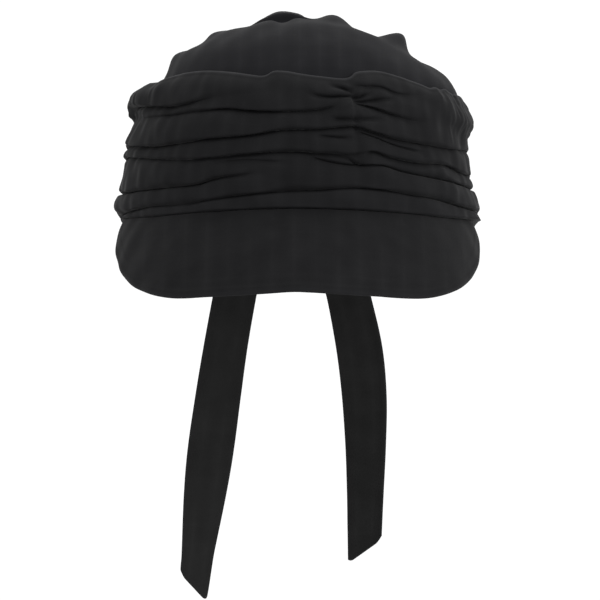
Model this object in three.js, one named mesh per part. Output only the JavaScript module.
// Soft peaked head-wrap cap: gathered crown, ruched band, cloth-covered peak and two hanging ties.
// Millimetres, Z up, the front faces -Y. The origin is the middle of the head opening,
// level with the lower edge of the band in front. Azimuth is 0 in front and grows towards +X.

import * as THREE from "three";
import { LoftGeometry } from "three/addons/geometries/LoftGeometry.js";

const { degToRad, lerp, smoothstep } = THREE.MathUtils;

// Cloth and seams
const CROWN_WALL = 1.6;
const PEAK_WALL = 2.4;
const TIE_WALL = 1.2;
const SEAM_GAP = 0.5;
const UPPER_HEM_GAP = 0.9;
const TIE_GAP = 0.8;
const BLACK_COTTON = { color: 0x262628, roughness: 0.9, metalness: 0 };

// Facets
const STEPS_AROUND = 64;
const CROWN_ROWS = [0, 1, 1.5, 2, 2.5, 3, 3.33, 3.67, 4, 4.33, 4.67, 5, 5.33, 5.67, 6, 6.5, 7];
const PEAK_STEPS = 28;
const PEAK_ROWS = 6;
const TIE_STEPS = 14;
const TIE_COLUMNS = 4;
const HALVINGS = 24;

// Head opening, outside of the crown's wall at the hem
const HEM_HALF_WIDTH = 80.5;
const HEM_FRONT = 100.5;
const HEM_BELOW_BAND = 4.5;

// Crown, one row for each section from the hem up: height and reach to each side.
// The last section closes to a short seam across the top.
const CROWN_SECTIONS = [
  { height: -HEM_BELOW_BAND, left: HEM_HALF_WIDTH, right: HEM_HALF_WIDTH, front: HEM_FRONT, back: 96 },
  { height: 18, left: 80, right: 80, front: 101, back: 102 },
  { height: 40, left: 76, right: 76.5, front: 97.5, back: 101 },
  { height: 58, left: 70, right: 73, front: 88, back: 94 },
  { height: 74, left: 58, right: 58, front: 69, back: 77 },
  { height: 86, left: 36, right: 36, front: 43, back: 50 },
  { height: 92, left: 16, right: 16, front: 19, back: 23 },
  { height: 94.2, left: 6, right: 6, front: 0, back: 0 },
];
const DOME_CENTRE_HEIGHT = 20;
const HEM_SHAPE_ENDS = 58;

// Gathers over the top and down the back: place across the top, rise and breadth of each ridge
const GATHERS = [
  { across: -74, rise: -3, breadth: 7 },
  { across: -63, rise: 3, breadth: 7 },
  { across: -49, rise: -1.2, breadth: 5 },
  { across: -41, rise: 2.6, breadth: 6 },
  { across: -24, rise: -2.6, breadth: 7 },
  { across: -10.5, rise: 2.8, breadth: 9 },
  { across: 20, rise: 3.2, breadth: 8 },
  { across: 35, rise: -4.4, breadth: 7 },
  { across: 49, rise: 6.2, breadth: 5.5 },
  { across: 58.5, rise: -3.5, breadth: 6 },
  { across: 80, rise: 3, breadth: 12 },
];
const GATHER_START = { front: -28, full: 8 };
const GATHER_FADE = { below_hem: 0, above_hem: 15 };
const NAPE_CLOSING = 0.5;
const GATHER_SPREAD = { times: 2, full_below: 30, none_above: 88 };

// Places round the head, in degrees, where the lines of the band are given
const AZIMUTH = {
  back: -180,
  left_back: -130,
  left: -78,
  left_temple: -52,
  left_brow: -27,
  middle: -3,
  gather: 17,
  right_brow: 33,
  right_temple: 56,
  right: 80,
  right_back: 130,
};

// Height of each line of the band, from its lower edge through the creases to its upper hem
const BAND_LINES = [
  {
    line: "lower_edge",
    back: -26, left_back: -17, left: -2.5, left_temple: -2.5, left_brow: -1, middle: 0,
    gather: -0.5, right_brow: -1.5, right_temple: -3, right: -3.5, right_back: -17,
  },
  {
    line: "hem_tuck",
    back: -22, left_back: -12.5, left: 1, left_temple: 1.5, left_brow: 4.5, middle: 8,
    gather: 9, right_brow: 7, right_temple: 2.5, right: 0.5, right_back: -12.5,
  },
  {
    line: "lower_crease",
    back: -15, left_back: -4, left: 12.5, left_temple: 9.5, left_brow: 12.5, middle: 16.5,
    gather: 19.5, right_brow: 17.5, right_temple: 12.5, right: 10.5, right_back: -4,
  },
  {
    line: "middle_crease",
    back: -9, left_back: 5, left: 25, left_temple: 23.5, left_brow: 22.5, middle: 24,
    gather: 24.5, right_brow: 22.5, right_temple: 20.5, right: 18, right_back: 4,
  },
  {
    line: "brow_crease",
    back: -3, left_back: 13, left: 31, left_temple: 29, left_brow: 31.5, middle: 34,
    gather: 36, right_brow: 31.5, right_temple: 28.5, right: 28.5, right_back: 12,
  },
  {
    line: "upper_crease",
    back: 3, left_back: 22, left: 43.5, left_temple: 42.5, left_brow: 44.5, middle: 42.5,
    gather: 46, right_brow: 42, right_temple: 39, right: 38, right_back: 20,
  },
  {
    line: "top_tuck",
    back: 8, left_back: 29, left: 47.5, left_temple: 47.5, left_brow: 50, middle: 50.5,
    gather: 51, right_brow: 53, right_temple: 48, right: 46, right_back: 27,
  },
  {
    line: "upper_hem",
    back: 14, left_back: 38, left: 62, left_temple: 61, left_brow: 60.5, middle: 60,
    gather: 60.5, right_brow: 60, right_temple: 56, right: 56, right_back: 38,
  },
];

// How far each crease is drawn in at those places, as a share of the cloth's fullness
const CREASE_DEPTHS = [
  {
    line: "hem_tuck",
    back: 0.5, left_back: 0.5, left: 0.6, left_temple: 0.7, left_brow: 0.9, middle: 1,
    gather: 1, right_brow: 1, right_temple: 0.9, right: 0.6, right_back: 0.5,
  },
  {
    line: "lower_crease",
    back: 0.5, left_back: 0.6, left: 0.8, left_temple: 1, left_brow: 0.8, middle: 0.05,
    gather: 0.7, right_brow: 0.8, right_temple: 1, right: 0.9, right_back: 0.6,
  },
  {
    line: "middle_crease",
    back: 0.5, left_back: 0.7, left: 0.9, left_temple: 0.6, left_brow: 0.8, middle: 1,
    gather: 0.9, right_brow: 1, right_temple: 1, right: 1, right_back: 0.8,
  },
  {
    line: "brow_crease",
    back: 0.5, left_back: 0.6, left: 0.9, left_temple: 1, left_brow: 1, middle: 1,
    gather: 1, right_brow: 0.9, right_temple: 0.7, right: 1, right_back: 0.8,
  },
  {
    line: "upper_crease",
    back: 0.4, left_back: 0.6, left: 0.8, left_temple: 0.5, left_brow: 1, middle: 0.8,
    gather: 0.5, right_brow: 0.8, right_temple: 0.3, right: 0.2, right_back: 0.3,
  },
  {
    line: "top_tuck",
    back: 0.4, left_back: 0.7, left: 1, left_temple: 0.8, left_brow: 0.3, middle: 0.15,
    gather: 0.9, right_brow: 0.5, right_temple: 0.2, right: 0.2, right_back: 0.4,
  },
];

// How far the folds stand off the crown, by share of the band's height
const BAND_FULLNESS = [
  { share: 0, fullness: 6.5 },
  { share: 0.2, fullness: 4.8 },
  { share: 0.5, fullness: 4.2 },
  { share: 0.75, fullness: 6.3 },
  { share: 0.9, fullness: 8 },
  { share: 1, fullness: 2.6 },
];
const CREASE_STAND_OFF = 2.2;
const FULL_FOLD_SPAN = 8;
const BAND_WALL = 2.4;
const LIP_WALL_FOOT = 0.3;
const LIP_RISE = { most: 1.4, share: 0.25 };
const BELLY_SHARE = 0.55;
const EDGE_ROLL = 1.2;

// Peak: its half angle at the hem, depth in the middle, droop and roundness
const PEAK_HALF_ANGLE = 84;
const PEAK_DEPTH = 52.3;
const PEAK_CORNER_POWER = 2;
const PEAK_SIDE_POWER = 1.08;
const PEAK_DROOP = { middle: 42, sides: 68, power: 1.4 };
const PEAK_CAMBER = 2.5;
const PEAK_END_DEPTH = 1.5;

// Ties, one row for each station down the length: height, place across, lean to the back,
// turn of the cloth about its length and width
const LEFT_TIE = [
  { height: -26.6, across: -29.4, behind: 0, turn: 24, width: 24 },
  { height: -40.5, across: -32, behind: 1, turn: 27, width: 24 },
  { height: -65, across: -36.6, behind: 3, turn: 22, width: 24 },
  { height: -90, across: -40.6, behind: 4, turn: 13, width: 24 },
  { height: -114, across: -43.7, behind: 4, turn: 14, width: 24 },
  { height: -138, across: -46.6, behind: 3, turn: 23, width: 23.6 },
  { height: -163, across: -50, behind: 1.5, turn: 38, width: 22 },
  { height: -184.8, across: -52.6, behind: 0, turn: 50, width: 19.5 },
];
const RIGHT_TIE = [
  { height: -26.6, across: 22, behind: 0, turn: -17, width: 24 },
  { height: -40.5, across: 26, behind: 1, turn: -21, width: 24 },
  { height: -65, across: 31.3, behind: 3, turn: -13, width: 24 },
  { height: -89, across: 33.8, behind: 4, turn: -19, width: 23.6 },
  { height: -114, across: 34.4, behind: 4, turn: -28, width: 22.8 },
  { height: -138, across: 34.2, behind: 3, turn: -34, width: 22 },
  { height: -156, across: 34, behind: 2, turn: -37, width: 21.4 },
  { height: -167.4, across: 34, behind: 1, turn: -38, width: 20.8 },
];
const LEFT_TIE_SLANT = 15;
const RIGHT_TIE_SLANT = 12;

// Smooth reading of a table at places between its rows
function readTable(places, rows, columns) {
  const values = rows.flatMap((row) => columns.map((column) => row[column]));
  const curve = new THREE.CubicInterpolant(places, values, columns.length);
  return (place) => {
    const read = curve.evaluate(place);
    return Object.fromEntries(columns.map((column, i) => [column, read[i]]));
  };
}

// Smooth reading of one line of the band at any azimuth
function readRound(row) {
  const names = Object.keys(AZIMUTH);
  const places = [...Object.values(AZIMUTH), AZIMUTH.back + 360];
  const values = [...names.map((name) => row[name]), row.back];
  const curve = new THREE.CubicInterpolant(places, values, 1);
  curve.settings = {
    endingStart: THREE.WrapAroundEnding,
    endingEnd: THREE.WrapAroundEnding,
  };
  return (azimuth) => curve.evaluate(azimuth)[0];
}

const bandLines = BAND_LINES.map(readRound);
const creaseDepths = CREASE_DEPTHS.map(readRound);
const lowerEdge = bandLines[0];
const upperHem = bandLines[bandLines.length - 1];
const sectionPlaces = CROWN_SECTIONS.map((section, i) => i);
const readSection = readTable(
  sectionPlaces,
  CROWN_SECTIONS,
  ["height", "left", "right", "front", "back"],
);
const readFullness = readTable(
  BAND_FULLNESS.map((row) => row.share),
  BAND_FULLNESS,
  ["fullness"],
);
const TOP_SECTION = CROWN_SECTIONS.length - 1;

// Level direction that the hem faces at an azimuth
function facing(azimuth) {
  const angle = degToRad(azimuth);
  const direction = new THREE.Vector3(
    Math.sin(angle) / HEM_HALF_WIDTH,
    -Math.cos(angle) / HEM_FRONT,
    0,
  );
  return direction.normalize();
}

// A point of the crown moved away from the middle of the dome
function movedOut(point, distance) {
  const centre = new THREE.Vector3(0, 0, Math.min(point.z, DOME_CENTRE_HEIGHT));
  const away = point.clone().sub(centre).normalize();
  return point.clone().addScaledVector(away, distance);
}

// Rise of the gathers at a point of the plain dome
function gatherRise(point, azimuth) {
  const begun = smoothstep(point.y, GATHER_START.front, GATHER_START.full);
  const hem = upperHem(azimuth);
  const shown = smoothstep(point.z, hem - GATHER_FADE.below_hem, hem + GATHER_FADE.above_hem);
  const closing = lerp(NAPE_CLOSING, 1, smoothstep(point.z, 0, CROWN_SECTIONS[TOP_SECTION].height));
  const narrow = smoothstep(point.z, GATHER_SPREAD.full_below, GATHER_SPREAD.none_above);
  const spread = lerp(GATHER_SPREAD.times, 1, narrow);
  const rises = GATHERS.map((ridge) => {
    const place = (point.x - ridge.across * closing) / (ridge.breadth * spread);
    return ridge.rise * Math.exp(-place * place);
  });
  return begun * shown * rises.reduce((sum, rise) => sum + rise, 0);
}

// Outside of the crown at an azimuth and a place between the hem and the top
function crownPoint(azimuth, place) {
  const section = readSection(place);
  const across = Math.sin(degToRad(azimuth));
  const ahead = Math.cos(degToRad(azimuth));
  const hemShare = 1 - smoothstep(section.height, -HEM_BELOW_BAND, HEM_SHAPE_ENDS);
  const point = new THREE.Vector3(
    across * (across > 0 ? section.right : section.left),
    -ahead * (ahead > 0 ? section.front : section.back),
    section.height + lowerEdge(azimuth) * hemShare,
  );
  return movedOut(point, gatherRise(point, azimuth));
}

// Outside of the crown at an azimuth and a height
function crownAtHeight(azimuth, height) {
  let low = 0;
  let high = TOP_SECTION;
  for (let halving = 0; halving < HALVINGS; halving += 1) {
    const middle = (low + high) / 2;
    if (crownPoint(azimuth, middle).z < height) low = middle;
    else high = middle;
  }
  const point = crownPoint(azimuth, (low + high) / 2);
  point.z = height;
  return point;
}

// Azimuths of the facets round the head
function azimuthsAround() {
  return Array.from({ length: STEPS_AROUND }, (_, i) => -180 + (360 * i) / STEPS_AROUND);
}

function buildCrown() {
  const azimuths = azimuthsAround();
  const outside = CROWN_ROWS.map((row) => azimuths.map((azimuth) => crownPoint(azimuth, row)));
  const inside = outside.map((ring) => ring.map((point) => movedOut(point, -CROWN_WALL)));
  return new LoftGeometry([...inside.reverse(), ...outside]);
}

// Folds of the band at an azimuth, upwards: height of each point and how far its
// outside and inside stand off the crown
function bandProfile(azimuth) {
  const heights = bandLines.map((line) => line(azimuth));
  const bottom = heights[0];
  const top = heights[heights.length - 1];
  const standOff = (height) => readFullness((height - bottom) / (top - bottom)).fullness;
  const thick = (out) => Math.max(SEAM_GAP, out - BAND_WALL);
  const points = [{ height: bottom, out: standOff(bottom) - EDGE_ROLL, inner: SEAM_GAP }];
  for (let fold = 0; fold + 1 < heights.length; fold += 1) {
    const foot = heights[fold];
    const span = heights[fold + 1] - foot;
    const lip = foot + Math.min(LIP_RISE.most, LIP_RISE.share * span);
    const belly = foot + BELLY_SHARE * span;
    const full = Math.min(1, span / FULL_FOLD_SPAN);
    const lipOut = lerp(CREASE_STAND_OFF, standOff(lip), full);
    const bellyOut = lerp(CREASE_STAND_OFF, standOff(belly), full);
    points.push({ height: lip, out: lipOut, inner: SEAM_GAP + LIP_WALL_FOOT });
    points.push({ height: belly, out: bellyOut, inner: thick(bellyOut) });
    const crease = creaseDepths[fold];
    if (crease) {
      const depth = THREE.MathUtils.clamp(crease(azimuth), 0, 1);
      const out = lerp(standOff(heights[fold + 1]), CREASE_STAND_OFF, depth);
      points.push({ height: heights[fold + 1], out, inner: SEAM_GAP });
    }
  }
  points.push({ height: top, out: standOff(top), inner: UPPER_HEM_GAP });
  return points;
}

function buildBand() {
  const rings = azimuthsAround().map((azimuth) => {
    const away = facing(azimuth);
    const profile = bandProfile(azimuth);
    const at = (height, standOff) =>
      crownAtHeight(azimuth, height).addScaledVector(away, standOff);
    const outside = profile.map((point) => at(point.height, point.out));
    const inside = profile.map((point) => at(point.height, point.inner));
    return [...inside, ...outside.reverse()];
  });
  return new LoftGeometry([...rings, rings[0]]);
}

// Upper face of the peak at an azimuth and a share of the way from the hem to its edge
function peakPoint(azimuth, share, underside) {
  const turned = Math.abs(azimuth) / PEAK_HALF_ANGLE;
  const round = (1 - turned ** PEAK_CORNER_POWER) ** PEAK_SIDE_POWER;
  const depth = Math.max(PEAK_END_DEPTH, PEAK_DEPTH * round);
  const sideways = Math.abs(Math.sin(degToRad(azimuth))) ** PEAK_DROOP.power;
  const droop = degToRad(lerp(PEAK_DROOP.middle, PEAK_DROOP.sides, sideways));
  const away = facing(azimuth);
  const up = away.clone().multiplyScalar(Math.sin(droop));
  up.z = Math.cos(droop);
  const down = away.clone().multiplyScalar(Math.cos(droop));
  down.z = -Math.sin(droop);
  const rootGap = SEAM_GAP + PEAK_WALL * Math.sin(droop);
  const root = crownPoint(azimuth, 0).addScaledVector(away, rootGap);
  root.z = lowerEdge(azimuth) - SEAM_GAP;
  const camber = PEAK_CAMBER * (depth / PEAK_DEPTH) * 4 * share * (1 - share);
  return root
    .addScaledVector(down, depth * share)
    .addScaledVector(up, camber - (underside ? PEAK_WALL : 0));
}

function buildPeak() {
  const shares = Array.from({ length: PEAK_ROWS + 1 }, (_, i) => i / PEAK_ROWS);
  const rings = [];
  for (let step = 0; step <= PEAK_STEPS; step += 1) {
    const azimuth = lerp(-PEAK_HALF_ANGLE, PEAK_HALF_ANGLE, step / PEAK_STEPS);
    const upper = shares.map((share) => peakPoint(azimuth, share, false));
    const lower = shares.map((share) => peakPoint(azimuth, share, true));
    rings.push([...upper, ...lower.reverse()]);
  }
  return new LoftGeometry(rings, { capStart: true, capEnd: true });
}

// Middle of the crown's back at a place across, just outside its wall
function napePoint(across, height) {
  const azimuth = 180 - (Math.asin(across / HEM_HALF_WIDTH) * 180) / Math.PI;
  const wrapped = azimuth > 180 ? azimuth - 360 : azimuth;
  return crownAtHeight(wrapped, height).addScaledVector(facing(wrapped), TIE_GAP + TIE_WALL / 2);
}

function buildTie(stations, slant) {
  const readStation = readTable(
    stations.map((row, i) => i),
    stations,
    ["height", "across", "behind", "turn", "width"],
  );
  const root = napePoint(stations[0].across, stations[0].height);
  const inner = -Math.sign(stations[0].across);
  const rings = [];
  for (let step = 0; step <= TIE_STEPS; step += 1) {
    const along = step / TIE_STEPS;
    const row = readStation(along * (stations.length - 1));
    const turn = degToRad(row.turn);
    const half = new THREE.Vector3(-Math.sin(turn), Math.cos(turn), 0).multiplyScalar(TIE_WALL / 2);
    const middle = [];
    for (let column = 0; column <= TIE_COLUMNS; column += 1) {
      const side = column / TIE_COLUMNS - 0.5;
      const point = new THREE.Vector3(
        row.across + side * row.width * Math.cos(turn),
        root.y + row.behind + side * row.width * Math.sin(turn),
        row.height,
      );
      if (step === 0) point.y = napePoint(point.x, row.height).y;
      if (step === TIE_STEPS) point.z -= slant * side * inner;
      middle.push(point);
    }
    const back = middle.map((point) => point.clone().add(half));
    const front = middle.map((point) => point.clone().sub(half));
    rings.push([...back, ...front.reverse()]);
  }
  return new LoftGeometry(rings, { capStart: true, capEnd: true });
}

function addPiece(cap, name, geometry) {
  const mesh = new THREE.Mesh(geometry, new THREE.MeshStandardMaterial(BLACK_COTTON));
  mesh.name = name;
  cap.add(mesh);
}

const cap = new THREE.Group();
cap.name = "cap";
addPiece(cap, "crown", buildCrown());
addPiece(cap, "ruched_band", buildBand());
addPiece(cap, "peak", buildPeak());
addPiece(cap, "tie_left", buildTie(LEFT_TIE, LEFT_TIE_SLANT));
addPiece(cap, "tie_right", buildTie(RIGHT_TIE, RIGHT_TIE_SLANT));

export default cap;
